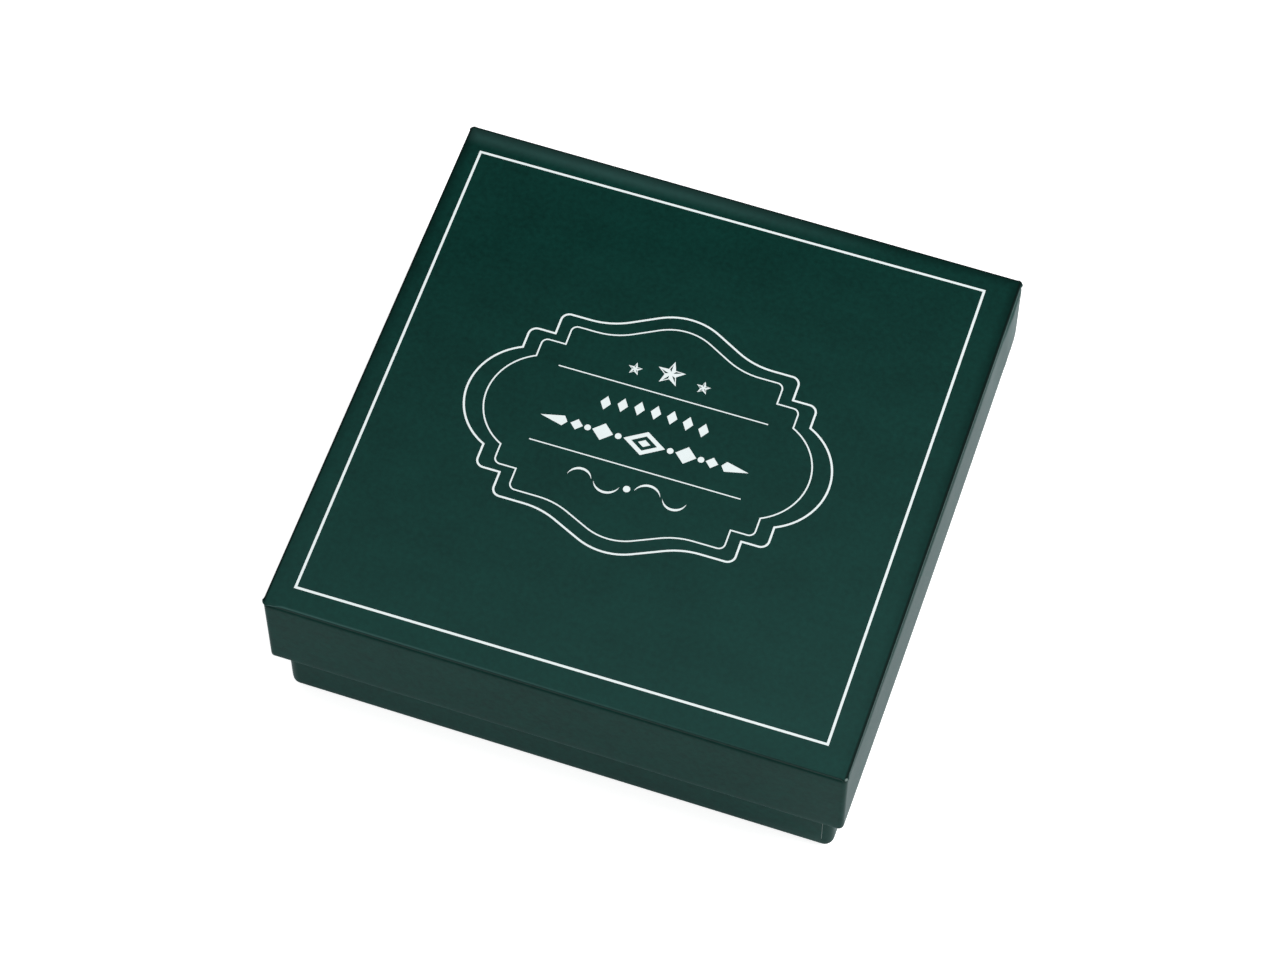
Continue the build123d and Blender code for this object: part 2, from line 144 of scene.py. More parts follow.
class FoilSettings(bpy.types.PropertyGroup):
    """The stamped silver foil."""

    silver: colour("Silver", "Colour of the foil", (236, 246, 246))
    metal: amount("Metallic share", "How much of the foil's light is mirrored", 0.5)
    spread: amount("Roughness", "Roughness of the foil", 0.3)


class FillingSettings(bpy.types.PropertyGroup):
    """What the box holds."""

    card: colour("Card", "Colour of the grid's card", (236, 229, 212))
    lining: colour("Lining", "Colour of the lining paper", (238, 232, 217))
    wadding: colour("Wadding", "Colour of the cushion pad", (243, 239, 229))
    cup: colour("Cup", "Colour of the fluted cups", (74, 44, 30))
    milk: colour("Milk chocolate", "Colour of the domes", (112, 66, 40))
    dark: colour("Dark chocolate", "Colour of the squares", (58, 33, 24))
    cocoa: colour("Cocoa", "Colour of the truffles' dusting", (96, 60, 42))
    white: colour("White chocolate", "Colour of the rosettes", (236, 220, 180))
    nut: colour("Nut", "Colour of the nut kernels", (176, 120, 66))
    cup_paper: length("Cup paper", "Thickness of the fluted cups' paper", 0.12)
    pleat: length("Pleat depth", "Depth of a cup's pleats at its rim", 0.8)
    stripe: length("Stripe radius", "Half the thickness of the chocolate stripes", 0.5)


class StageSettings(bpy.types.PropertyGroup):
    """The camera, the floor and the light."""

    yaw: turning("Camera turn", "Turn of the camera to the right of the box's front", 18.625)
    height: turning("Camera height", "Height of the camera over the floor, as an angle", 59.725)
    roll: turning("Camera roll", "Roll of the camera", 0.25)
    reach: length("Camera distance", "Distance from the camera to the plane of its aim", 920.47)
    aim_right: length("Aim right", "How far the camera aims to the right of the box's middle", -2.208)
    aim_up: length("Aim up", "How far the camera aims above the box's middle", 10.997)
    lens: amount("Lens", "Focal length on a 36 mm wide sensor, in millimetres", 118.65)
    ambient: amount("Ambient light", "Brightness of the light from all round", 0.42)
    key: amount("Key light", "Power of the large lamp above the right side", 9.0)
    fill: amount("Fill light", "Power of the lamp at the front left", 3.4)
    floor_lift: amount("Floor brightness", "Brightness added to the floor in views and reflections", 0.68)


SETTINGS = {
    "praline_paper": PaperSettings, "praline_foil": FoilSettings,
    "praline_filling": FillingSettings, "praline_stage": StageSettings,
}


class Socket:
    """One output of a shader node, on which sums are written; each sum adds its Math node."""

    def __init__(self, graph, output):
        self.graph = graph
        self.output = output

    def __add__(self, other):
        return self.graph.maths("ADD", self, other)

    def __radd__(self, other):
        return self.graph.maths("ADD", other, self)

    def __sub__(self, other):
        return self.graph.maths("SUBTRACT", self, other)

    def __rsub__(self, other):
        return self.graph.maths("SUBTRACT", other, self)

    def __mul__(self, other):
        return self.graph.maths("MULTIPLY", self, other)

    def __rmul__(self, other):
        return self.graph.maths("MULTIPLY", other, self)


class Graph:
    """The shader nodes of one finish."""

    def __init__(self, name, kind="materials"):
        self.material = getattr(bpy.data, kind).new(name)
        self.material.use_nodes = True
        self.tree = self.material.node_tree
        self.tree.nodes.clear()

    def node(self, kind, settings=None, sockets=None, output=0):
        """Adds a node, sets it up, feeds its sockets values or links, and gives one of its outputs."""
        made = self.tree.nodes.new(kind)
        for name, value in (settings or {}).items():
            if name == "stops":
                set_stops(made.color_ramp, value)
            else:
                setattr(made, name, value)
        for key, value in (sockets or {}).items():
            if isinstance(value, Socket):
                self.tree.links.new(value.output, made.inputs[key])
            else:
                made.inputs[key].default_value = value
        return Socket(self, made.outputs[output]) if made.outputs else None

    def maths(self, operation, *values, clamp=False):
        """A Math node on one or two values, kept between 0 and 1 where clamp is set."""
        settings = {"operation": operation, "use_clamp": clamp}
        return self.node("ShaderNodeMath", settings, dict(enumerate(values)))

    def where(self):
        """Position on the object in metres."""
        return self.node("ShaderNodeTexCoord", output="Object")

    def axes(self):
        """The three coordinates of the position on the object."""
        where = self.where()
        return [self.node("ShaderNodeSeparateXYZ", {}, {0: where}, output=axis) for axis in "XYZ"]

    def clouds(self, size, detail=2.0, contrast=0.5, scale=(1, 1, 1)):
        """Soft noise of a given patch size, on a position that is stretched by a scale."""
        where = self.node("ShaderNodeMapping", {}, {"Vector": self.where(), "Scale": scale})
        sockets = {"Vector": where, "Scale": 1 / size, "Detail": detail, "Roughness": contrast}
        return self.node("ShaderNodeTexNoise", {}, sockets)

    def ramp(self, factor, *stops):
        """A value or colour that follows a factor through stops."""
        return self.node("ShaderNodeValToRGB", {"stops": stops}, {0: factor})

    def blend(self, factor, first, second):
        """A colour between two colours."""
        sockets = {0: factor, 6: first, 7: second}
        return self.node("ShaderNodeMix", {"data_type": "RGBA"}, sockets, output=2)

    def mottled(self, factor, shade, first_gain, second_gain):
        """A colour that a factor leads from one brightness to another."""
        return self.blend(factor, solid(shade, first_gain), solid(shade, second_gain))

    def slope(self, value, nought, one):
        """0 where a value is at nought, 1 where it is at one, and a smooth rise between them."""
        low, high, start = min(nought, one), max(nought, one), 0.0 if one > nought else 1.0
        sockets = {0: value, 1: low, 2: high, 3: start, 4: 1.0 - start}
        return self.node("ShaderNodeMapRange", {"interpolation_type": "SMOOTHSTEP"}, sockets)

    def rise(self, value, edge, start, full):
        """0 where a value is a start before an edge, 1 where it is a full before it, in millimetres."""
        return self.slope(value, edge - start * MM, edge - full * MM)

    def near(self, away, width):
        """1 where a distance is nought, falling to 0 at a width."""
        return self.maths("SUBTRACT", 1.0, away * (1 / width), clamp=True)

    def band(self, value, middle, width):
        """1 where a value is at a middle, falling to 0 a width away on either side."""
        return self.near(self.maths("ABSOLUTE", value - middle), width)

    def spot(self, place, width):
        """1 at a place, falling to 0 a width away all round."""
        sockets = {0: self.where(), 1: place}
        return self.near(
            self.node("ShaderNodeVectorMath", {"operation": "DISTANCE"}, sockets, output="Value"), width
        )

    def bump(self, height, distance, below=None):
        """Normals bent by a height from 0 to 1 over a distance, and by a slower bump below it."""
        sockets = {"Height": height, "Distance": distance}
        if below:
            sockets["Normal"] = below
        return self.node("ShaderNodeBump", {}, sockets)

    def finish(self, **sockets):
        """Closes the graph with its surface shader and gives the material."""
        named = {name.replace("_", " "): value for name, value in sockets.items()}
        surface = self.node("ShaderNodeBsdfPrincipled", {}, named)
        self.node("ShaderNodeOutputMaterial", {}, {"Surface": surface})
        return self.material


def set_stops(ramp, stops):
    """Gives a colour ramp its stops, each a place and a grey or a colour."""
    while len(ramp.elements) < len(stops):
        ramp.elements.new(1.0)
    for element, (place, shade) in zip(ramp.elements, stops):
        element.position = place
        element.color = (*shade, 1) if isinstance(shade, tuple) else (shade, shade, shade, 1)


def solid(shade, gain=1.0):
    """A colour with its alpha, made lighter or darker by a gain."""
    return tuple(min(1.0, part * gain) for part in shade[:3]) + (1.0,)


def painted_sheen(g, lid, shade, streaks):
    """Painted reflections and highlight: the top paler towards its front right, a paler back left margin,
    and a pale rim.
    """
    top_share, margin_share, rim_share, rim_width = 0.24, 0.62, 0.5, 0.45 * MM
    to_back, to_right, at_middle = -8.0, 3.0, 0.42
    # Painted reflection: the top grows paler towards its front right.
    reflection_drift = g.maths("ADD", lid.y * to_back + lid.x * to_right, at_middle, clamp=True)
    shade = g.blend(reflection_drift * g.rise(lid.z, lid.top, 0.8, 0.2) * top_share, shade, lid.highlight_green)
    # Painted reflection: a paler sheen along the back margin, strongest at the left.
    back_sheen = g.rise(lid.y, lid.high.y, 5.2, 2.5) * g.slope(lid.x, 42 * MM, -12 * MM)
    shade = g.blend(back_sheen * (streaks * 0.3 + 0.4) * margin_share, shade, lid.highlight_green)
    # Painted highlight: a pale line round the lid's rim.
    return g.blend(g.band(lid.z, lid.low.z, rim_width) * rim_share, shade, lid.highlight_green)


def arris_shade(g, lid, shade):
    """Painted shade: a dark line along the lid's left, right and back arrises, over a wider and fainter
    band of painted shade.
    """
    line_share, wide_share, wide_gain = 0.85, 0.3, 3.5
    over = g.rise(lid.z, lid.top, 0.42, 0.2)
    outward = g.maths("MAXIMUM", g.maths("ABSOLUTE", lid.x), lid.y)
    wide = g.rise(outward, lid.high.x, 3.0, 0.4)
    shade = g.blend(wide * over * (wide_share + lid.y * wide_gain), shade, lid.dark)
    return g.blend(g.rise(outward, lid.high.x, 0.8, 0.3) * over * line_share, shade, lid.dark)


def front_arris_light(g, lid, shade):
    """Painted shade in a strip under the front arris and a painted highlight on its ridge, which dip at
    the left corner.
    """
    shade_share, ridge_share, ridge_fall = 0.5, 0.42, 7.5
    dip_depth, ridge_drop, ridge_width = 0.9 * MM, 0.25, 0.22 * MM
    dip = lid.z + g.rise(lid.x, lid.low.x, -4.5, -0.6) * dip_depth
    under = g.rise(dip, lid.top, 3.0, 0.7) * g.rise(dip, lid.top, ridge_drop, 0.6)
    shade = g.blend(under * lid.front * shade_share, shade, lid.dark)
    # Painted highlight along the front arris, strongest at the left.
    ridge = g.band(dip, lid.top - ridge_drop * MM, ridge_width) * lid.front
    return g.blend(ridge * (ridge_share - lid.x * ridge_fall), shade, lid.highlight_green)


def corner_wear_and_reflection(g, lid, shade, streaks, cut_edge):
    """The worn tip at the front right corner, and pale streaks of painted reflection on the right wall
    near its back.
    """
    tip_in, tip_down, tip_width, reflection_share = 0.35 * MM, 0.7 * MM, 0.6 * MM, 0.3
    place = (lid.high.x - tip_in, lid.low.y + tip_in, lid.high.z - tip_down)
    worn = g.ramp(g.spot(place, tip_width), (0.2, 0.0), (0.5, 0.8))
    shade = g.blend(worn, shade, solid(cut_edge))
    # Painted reflection: pale upright streaks on the right wall near its back.
    reflection_streaks = g.rise(lid.x, lid.high.x, 0.3, 0.05) * g.rise(lid.y, lid.high.y, 34, 8)
    return g.blend(reflection_streaks * streaks * reflection_share, shade, lid.highlight_green)


def lid_light_and_wear(g, paper, shade, streaks):
    """Lays the lid's painted highlights, reflections and shade, and its worn corner tip, over its paper,
    and gives its crease's mask too.
    """
    low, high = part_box("lid_wrap")
    x, y, z = g.axes()
    lid = SimpleNamespace(
        low=low, high=high, top=high.z - paper.relief, x=x, y=y, z=z,
        # The pale and the dark green are the colours of the painted highlights and reflections and of the
        # painted shade.
        highlight_green=solid(paper.highlight_green), dark=solid(paper.green, 0.12),
        front=g.rise(y, low.y, -1.2, -0.6),
    )
    shade = painted_sheen(g, lid, shade, streaks)
    shade = arris_shade(g, lid, shade)
    shade = front_arris_light(g, lid, shade)
    shade = corner_wear_and_reflection(g, lid, shade, streaks, paper.cut_edge)
    crease = g.band(z, lid.top - paper.crease_drop, 1.8 * paper.crease_width) * lid.front
    return shade, crease


def green_paper(paper, name="green_paper", marks=None):
    """Dark green covering paper, cloudy and finely felted, with the painted light and shade and the marks
    of the piece that it covers.
    """
    cloud_gloss, felt_gloss, crease_gloss = 0.05, 0.04, 0.4
    g = Graph(name)
    clouds = g.clouds(paper.mottle, detail=3.0)
    felt = g.clouds(paper.grain, detail=3.0, contrast=0.6)
    streaks = g.clouds(7 * MM, scale=(0.25, 1, 0.35))
    tone = clouds * 0.25 + felt * 0.55 + streaks * 0.2
    shade = g.mottled(tone, paper.green, 0.2, 1.82)
    evenly = paper.gloss_spread - (cloud_gloss + felt_gloss) / 2
    rough = clouds * cloud_gloss + felt * felt_gloss + evenly
    if marks:
        shade, crease = marks(g, paper, shade, streaks)
        rough = rough + crease * crease_gloss
    slow = g.bump(g.clouds(14 * MM, detail=1.0, contrast=0.4, scale=(1, 1, 0.45)), 0.1 * MM)
    normal = g.bump(felt, 0.012 * MM, slow)
    return g.finish(
        Base_Color=shade, Roughness=rough, Normal=normal, Specular_IOR_Level=paper.sheen_level
    )


def cut_paper(paper):
    """The pale fibrous edge of cut paper."""
    g = Graph("cut_paper")
    fibres = g.clouds(0.3 * MM)
    shade = g.mottled(fibres, paper.cut_edge, 0.85, 1.1)
    return g.finish(Base_Color=shade, Roughness=0.9, Normal=g.bump(fibres, 0.02 * MM))


def silver_foil(foil):
    """Stamped silver foil with a faint unevenness of its own."""
    gloss = 0.12
    g = Graph("silver_foil")
    uneven = g.clouds(2.2 * MM)
    shade = g.mottled(uneven, foil.silver, 0.93, 1.0)
    rough = uneven * gloss + (foil.spread - gloss / 2)
    return g.finish(
        Base_Color=shade, Roughness=rough, Normal=g.bump(uneven, 0.01 * MM), Metallic=foil.metal
    )


def fibre_board(name, shade, fleck, roughness, fibre=0.45):
    """Board or uncoated paper: fibres of a size in millimetres, lying all ways, with darker flecks."""
    g = Graph(name)
    fibres = g.clouds(fibre * MM, detail=4.0, contrast=0.7)
    flecks = g.ramp(g.clouds(1.3 * MM), (0.35, 1.0), (0.55, 0.0))
    base = g.mottled(fibres * 0.7 + flecks * fleck, shade, 1.04, 0.78)
    return g.finish(Base_Color=base, Roughness=roughness, Normal=g.bump(fibres, 0.03 * MM))


def tissue_wadding(filling):
    """Soft crimped tissue: tiny pressed dimples over cloudy plies."""
    dimple = 1.5 * MM
    g = Graph("tissue_wadding")
    sockets = {"Vector": g.where(), "Scale": 1 / dimple}
    dimples = g.node("ShaderNodeTexVoronoi", {"feature": "F1"}, sockets)
    shade = g.mottled(g.clouds(6 * MM, detail=3.0), filling.wadding, 0.9, 1.0)
    return g.finish(Base_Color=shade, Roughness=0.95, Normal=g.bump(dimples, 0.15 * MM))


def pleated_paper(filling):
    """Thin glassine of the fluted cups."""
    g = Graph("pleated_paper")
    fibres = g.clouds(0.8 * MM, detail=3.0)
    shade = g.mottled(fibres, filling.cup, 0.8, 1.25)
    return g.finish(Base_Color=shade, Roughness=fibres * 0.1 + 0.42, Normal=g.bump(fibres, 0.02 * MM))


def chocolate(name, shade, roughness, bloom):
    """Tempered chocolate: a satin skin with slow ripples and a trace of bloom."""
    g = Graph(name)
    ripples = g.clouds(5 * MM)
    specks = g.clouds(0.9 * MM, detail=3.0)
    base = g.mottled(ripples * 0.5 + specks * bloom, shade, 0.85, 1.2)
    normal = g.bump(specks, 0.02 * MM, g.bump(ripples, 0.25 * MM))
    return g.finish(
        Base_Color=base, Roughness=specks * 0.12 + roughness, Normal=normal, Subsurface_Weight=0.08,
        Subsurface_Scale=0.6 * MM,
    )


def cocoa_dust(filling):
    """Dry cocoa powder, in dark hollows and pale crumbs."""
    g = Graph("cocoa_dust")
    crumbs = g.clouds(0.7 * MM, detail=5.0, contrast=0.75)
    shade = g.mottled(crumbs * 0.7 + g.clouds(3 * MM) * 0.3, filling.cocoa, 0.55, 1.5)
    normal = g.bump(crumbs, 0.35 * MM)
    return g.finish(Base_Color=shade, Roughness=1.0, Normal=normal, Specular_IOR_Level=0.1)


def nut_skin(filling):
    """A roasted kernel with skin left in fine lengthwise streaks."""
    g = Graph("nut_skin")
    streaks = g.clouds(1.2 * MM, detail=3.0, contrast=0.6, scale=(1, 1, 0.25))
    shade = g.mottled(streaks, filling.nut, 0.55, 1.35)
    return g.finish(Base_Color=shade, Roughness=streaks * 0.2 + 0.4, Normal=g.bump(streaks, 0.12 * MM))


def nodes_named(start):
    """The solids whose names start with a word, in order."""
    return sorted(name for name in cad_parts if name.startswith(start))


def dress(node, material):
    """Gives a solid of the frame its finish."""
    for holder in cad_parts[node].material_slots:
        holder.material = material


def show(name, data):
    """Puts a mesh, curve or lamp into the scene as an object."""
    thing = bpy.data.objects.new(name, data)
    bpy.context.scene.collection.objects.link(thing)
    return thing


def new_piece(name, points, faces, materials, face_materials=None):
    """A mesh object with smooth faces and its finishes."""
    mesh = bpy.data.meshes.new(name)
    mesh.from_pydata([tuple(point) for point in points], [], faces)
    for material in materials:
        mesh.materials.append(material)
    if face_materials:
        mesh.polygons.foreach_set("material_index", face_materials)
    mesh.shade_smooth()
    mesh.update()
    return show(name, mesh)


def final_mesh(thing):
    """An object's mesh with its modifiers or its bevel worked out."""
    graph = bpy.context.evaluated_depsgraph_get()
    return bpy.data.meshes.new_from_object(thing.evaluated_get(graph))


def settle(piece):
    """Applies a piece's modifiers to its mesh."""
    mesh = final_mesh(piece)
    piece.modifiers.clear()
    piece.data = mesh


def thicken(piece, thickness):
    """Gives a sheet its thickness, on the side that its faces turn away from."""
    sheet = piece.modifiers.new("sheet", "SOLIDIFY")
    sheet.thickness = thickness
    sheet.offset = -1
    sheet.use_even_offset = True
    settle(piece)


def seat(piece, body, slot, *replaced):
    """Ties a piece to its body and hides the solids that it stands for; its slot is not used."""
    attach(piece, body)
    if replaced:
        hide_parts(*replaced)


def smooth_step(low, high, value):
    """0 below low, 1 above high and a smooth rise between them."""
    share = min(1.0, max(0.0, (value - low) / (high - low)))
    return share * share * (3 - 2 * share)


def hump(middle, width, value):
    """1 at a middle, fading to 0 a few widths away."""
    return 2.718 ** (-(((value - middle) / width) ** 2))


def polar(radius, angle, z):
    """A point at a distance and an angle round the upright axis, and at a height."""
    return Vector((radius * cos(angle), radius * sin(angle), z))


def skin(rings):
    """Points of rings of like length, and the faces between the rings, row by row."""
    count = len(rings[0])
    points = [point for ring in rings for point in ring]
    faces = []
    for row in range(len(rings) - 1):
        low, high = row * count, (row + 1) * count
        for index in range(count):
            following = (index + 1) % count
            faces.append((low + index, low + following, high + following, high + index))
    return points, faces


def round_rings(rows, columns, point):
    """Rings round an axis: point gives a place for each row's value and each angle."""
    angles = [2 * pi * column / columns for column in range(columns)]
    return [[point(row, angle) for angle in angles] for row in rows]


def fan(start, count, tip, turned=False):
    """Faces from a closed ring of points to a tip, which face the other way where they are turned."""
    faces = []
    for index in range(count):
        here, following = start + index, start + (index + 1) % count
        faces.append((following, here, tip) if turned else (here, following, tip))
    return faces


def side_shares(*extra):
    """Places along a wall from -1 to 1, close together near the corners, with extra ones."""
    shares = [-cos(pi * step / SIDE_STEPS) for step in range(SIDE_STEPS + 1)]
    return sorted([*shares, *extra])


def square_ring(half, radius, z, shares, push):
    """Points round a square with rounded corners, where push moves a wall's point outwards."""
    ring = []
    for side in range(4):
        turn = Matrix.Rotation(side * pi / 2, 3, "Z")
        for share in shares:
            along = share * (half - radius)
            ring.append(turn @ Vector((along, -half - push(side, along, z), z)))
        reach = radius + push(side, half, z)
        for step in range(1, CORNER_STEPS):
            angle = step / CORNER_STEPS * pi / 2
            across, back = half - radius + reach * sin(angle), radius - half - reach * cos(angle)
            ring.append(turn @ Vector((across, back, z)))
    return ring


def unpushed(side, along, z):
    """The push of a flat wall."""
    return 0.0


def arc(middle_half, middle_z, radius, corner, start, stop, steps):
    """Profile points on an arc between two angles: half width, corner radius and height."""
    points = []
    for step in range(steps + 1):
        angle = radians(start + (stop - start) * step / steps)
        half = middle_half + radius * cos(angle)
        inner = corner + radius * (cos(angle) - 1)
        points.append((half, max(LEAST_CORNER, inner), middle_z + radius * sin(angle)))
    return points


def runs(half, corner, low, high, steps):
    """Profile points up or down a straight wall."""
    return [(half, corner, low + (high - low) * step / steps) for step in range(1, steps)]


def inner_rim(inside, rim_z, edge, way):
    """Profile points from a wall's inside to its rim; way is 1 for a lower rim, -1 for an upper one."""
    shoulder_in, shoulder_drop = 0.12 * MM, 0.15 * MM
    return [
        (inside, INNER_CORNER, rim_z + way * edge),
        (inside + shoulder_in, INNER_CORNER, rim_z + way * shoulder_drop),
        (inside + edge, INNER_CORNER, rim_z),
    ]


def wave(side, along, z, size):
    """Slow unevenness of the paper on a wall, from -1 to 1."""
    point = Vector((along / size + 7.3 * side, 0.35 * z / size, 3.1 * side))
    return noise.noise(point) + 0.4 * noise.noise(2.7 * point)


def lid_push(paper, rim_z, top_z):
    """How far the lid's paper stands out from its flat walls."""
    half = cad_bounds[1][0]
    right_wall, side_walls = 1, (1, 3)
    upper_start, upper_end, rim_fade = 3 * MM, 1.2 * MM, 4 * MM
    wave_size, mean_wave = 17 * MM, 0.6
    bulge_place, bulge_width = half - 7 * MM, 7 * MM
    ripple_place, ripple_width, ripple_pitch, ripple_lean = half - 11 * MM, 9 * MM, 0.75 * MM, 4 * MM
    tab_place, tab_rise = half - paper.tab_inset, 0.05 * MM
    tip_place, tip_drop, tip_width = half - 1.6 * MM, 0.9 * MM, 0.6 * MM

    def push(side, along, z):
        if z > top_z - 0.2 * paper.lid_edge:
            return 0.0
        upper = 1 - smooth_step(top_z - upper_start, top_z - upper_end, z)
        inner = smooth_step(rim_z, rim_z + rim_fade, z) * upper
        out = paper.wave * (mean_wave + wave(side, along, z, wave_size)) * inner
        if side == right_wall:
            out += paper.bulge * hump(bulge_place, bulge_width, along) * inner
            ripples = sin(along / ripple_pitch + z / ripple_lean)
            out += paper.ripple * hump(ripple_place, ripple_width, along) * inner * ripples
            out += paper.bow * max(0.0, 1 - (along / half) ** 2) * upper
        if side in side_walls:
            out += paper.tab_step * smooth_step(tab_place - tab_rise, tab_place, abs(along))
        out -= paper.crease * hump(top_z - paper.crease_drop, paper.crease_width, z)
        corner = smooth_step(tip_place, half, abs(along))
        return out + paper.fold_tip * corner * hump(top_z - tip_drop, tip_width, z)

    return push


def make_lid_paper(paper):
    """The lid's covering paper: turned in inside, round the rim, up the walls and over the top."""
    low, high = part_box("lid_wrap")
    lining_low, lining_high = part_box("lid_lining")
    sheet = high.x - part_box("lid_board")[1].x
    half, rim_z, top_z = high.x, low.z, high.z - paper.relief
    inside = lining_high.x - sheet
    edge, corner, rim = paper.lid_edge, paper.lid_corner, paper.rim_edge
    crease_foot = top_z - paper.crease_drop - 3 * paper.crease_width
    profile = [(inside, INNER_CORNER, lining_low.z)]
    profile += runs(inside, INNER_CORNER, lining_low.z, rim_z + rim, steps=4)
    profile += inner_rim(inside, rim_z, rim, way=1)
    profile += [(half - rim, corner - rim, rim_z)]
    profile += arc(half - rim, rim_z + rim, rim, corner, start=-75, stop=0, steps=5)
    profile += runs(half, corner, rim_z + rim, crease_foot, steps=16)
    profile += runs(half, corner, crease_foot - 0.1 * MM, top_z - edge, steps=30)
    profile += arc(half - edge, top_z - edge, edge, corner, start=0, stop=90, steps=8)
    profile += [(half - inset * MM, LEAST_CORNER, top_z) for inset in TOP_INSETS]
    tab_share = 1 - 1.1 * MM / half
    shares = side_shares(tab_share, -tab_share)
    push = lid_push(paper, rim_z, top_z)
    rings = []
    for ring_half, radius, z in profile:
        walled = z < top_z - 0.1 * edge and ring_half > half - min(edge, rim + HAIR)
        rings.append(square_ring(ring_half, radius, z, shares, push if walled else unpushed))
    points, faces = skin(rings)
    count = len(rings[-1])
    faces += fan(len(points) - count, count, len(points))
    points.append(Vector((0, 0, top_z)))
    piece = new_piece("lid_paper", points, faces, [green_paper(paper, "green_paper_lid", lid_light_and_wear)])
    thicken(piece, SHEET_SHARE * sheet)
    seat(piece, "lid", "green_paper", "lid_wrap")


def base_push(paper, half, rim_z):
    """How far the base's paper stands out: slow waves, and the lap near the front right corner."""
    front_wall, noise_side = 0, 5
    wave_size, mean_wave, wave_share, wave_fade = 21 * MM, 0.6, 0.5, 1.5 * MM
    lap_end, lap_rise, foot_rise = half - paper.lap_inset, 2 * MM, 0.4 * MM
    lap_start = lap_end - paper.lap_width
    low, high = LAP_FOOT, rim_z - LAP_HEAD

    def push(side, along, z):
        if z < low or z > high:
            return 0.0
        window = smooth_step(low, low + wave_fade, z) * (1 - smooth_step(high - wave_fade, high, z))
        uneven = mean_wave + wave(side + noise_side, along, z, wave_size)
        out = wave_share * paper.wave * uneven * window
        if side == front_wall and lap_start < along <= lap_end:
            rise = smooth_step(lap_start, lap_start + lap_rise, along)
            out += paper.lap_step * rise * smooth_step(low, low + foot_rise, z)
        return out

    return push


def make_base_paper(paper):
    """The base's covering paper: under the bottom, up the walls, over the rim and down inside."""
    low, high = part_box("base_wrap")
    lining_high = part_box("base_lining")[1]
    half, rim_z, foot_z = high.x, high.z, low.z
    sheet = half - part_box("base_board")[1].x
    inside = lining_high.x - sheet
    edge, corner, rim = paper.base_edge, paper.base_corner, paper.rim_edge
    under_start, under_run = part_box("base_bottom_sheet")[1].x - 5 * MM, 4 * MM
    profile = [(under_start, INNER_CORNER, foot_z), (under_start + under_run, INNER_CORNER, foot_z)]
    profile += arc(half - edge, foot_z + edge, edge, corner, start=-90, stop=0, steps=10)
    profile += runs(half, corner, foot_z + edge, rim_z - rim, steps=18)
    profile += arc(half - rim, rim_z - rim, rim, corner, start=0, stop=90, steps=5)
    profile += reversed(inner_rim(inside, rim_z, rim, way=-1))
    profile += [(inside, INNER_CORNER, lining_high.z)]
    lap_share = (half - paper.lap_inset) / (half - corner)
    shares = side_shares(lap_share, lap_share + 0.04 * MM / half)
    push = base_push(paper, half, rim_z)
    rings, lap_rows = [], []
    for row, (ring_half, radius, z) in enumerate(profile):
        walled = ring_half > half - HAIR
        rings.append(square_ring(ring_half, radius, z, shares, push if walled else unpushed))
        if walled and LAP_FOOT + 0.1 * MM < z < rim_z - LAP_HEAD - 0.2 * MM:
            lap_rows.append(row)
    points, faces = skin(rings)
    finishes = [0] * len(faces)
    for row in lap_rows:
        finishes[row * len(rings[0]) + shares.index(lap_share)] = 1
    piece = new_piece("base_paper", points, faces, [green_paper(paper), cut_paper(paper)], finishes)
    thicken(piece, SHEET_SHARE * sheet)
    seat(piece, "base", "green_paper", "base_wrap")


def lathe(name, rows, columns, point, material):
    """A closed round mesh: point gives a place for a share of the way up and an angle."""
    points, faces = skin(round_rings([row / rows for row in range(1, rows)], columns, point))
    foot, head = len(points), len(points) + 1
    faces += fan(0, columns, foot, turned=True) + fan(foot - columns, columns, head)
    points += [point(0.0, 0.0), point(1.0, 0.0)]
    return new_piece(name, points, faces, [material])


def middle(node):
    """The middle of a solid's box, at its foot, and its half width and height."""
    low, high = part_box(node)
    foot = Vector(((low.x + high.x) / 2, (low.y + high.y) / 2, low.z))
    return foot, (high.x - low.x) / 2, high.z - low.z


def stretch(share, *ends):
    """Which stretch of a profile a share of its length lies in, and how far along that stretch."""
    start = 0.0
    for number, end in enumerate(ends):
        if share < end:
            return number, (share - start) / (end - start)
        start = end
    return len(ends), (share - start) / (1 - start)


def make_cup(node, turn, filling, material):
    """One fluted cup: a flat foot, and pleats that open towards an uneven rim."""
    foot, rim_radius, height = middle(node)
    foot_radius, foot_lift = rim_radius - 2.2 * MM, 0.35 * MM
    pleats, floor_rows, rows = 24, 3, 12
    floor_start, floor_run = 0.35, 0.62
    columns = pleats * 8

    def point(row, angle):
        up = max(0.0, (row - floor_rows) / rows)
        lean = noise.noise(polar(3, angle, turn))
        fold = cos(pleats * angle + 0.5 * lean)
        fold = fold * (1.3 - 0.3 * fold * fold)
        depth = filling.pleat * (0.25 + 0.75 * up) / 2
        radius = foot_radius + (rim_radius - foot_radius) * up - depth * (1 - fold)
        if row < floor_rows:
            pleated = foot_radius - filling.pleat / 4 * (1 - fold)
            radius = pleated * (floor_start + floor_run * row / floor_rows)
        lift = height * up * (1 - 0.03 * (1 + lean))
        if up == 0:
            lift += foot_lift * smooth_step(floor_rows - 1, floor_rows, row)
        return foot + polar(radius, angle, lift)

    points, faces = skin(round_rings(range(floor_rows + rows + 1), columns, point))
    faces += fan(0, columns, len(points), turned=True)
    points.append(foot.copy())
    piece = new_piece(node.replace("paper_cup", "fluted_cup"), points, faces, [material])
    thicken(piece, filling.cup_paper)
    seat(piece, "base", "cup_paper", node)


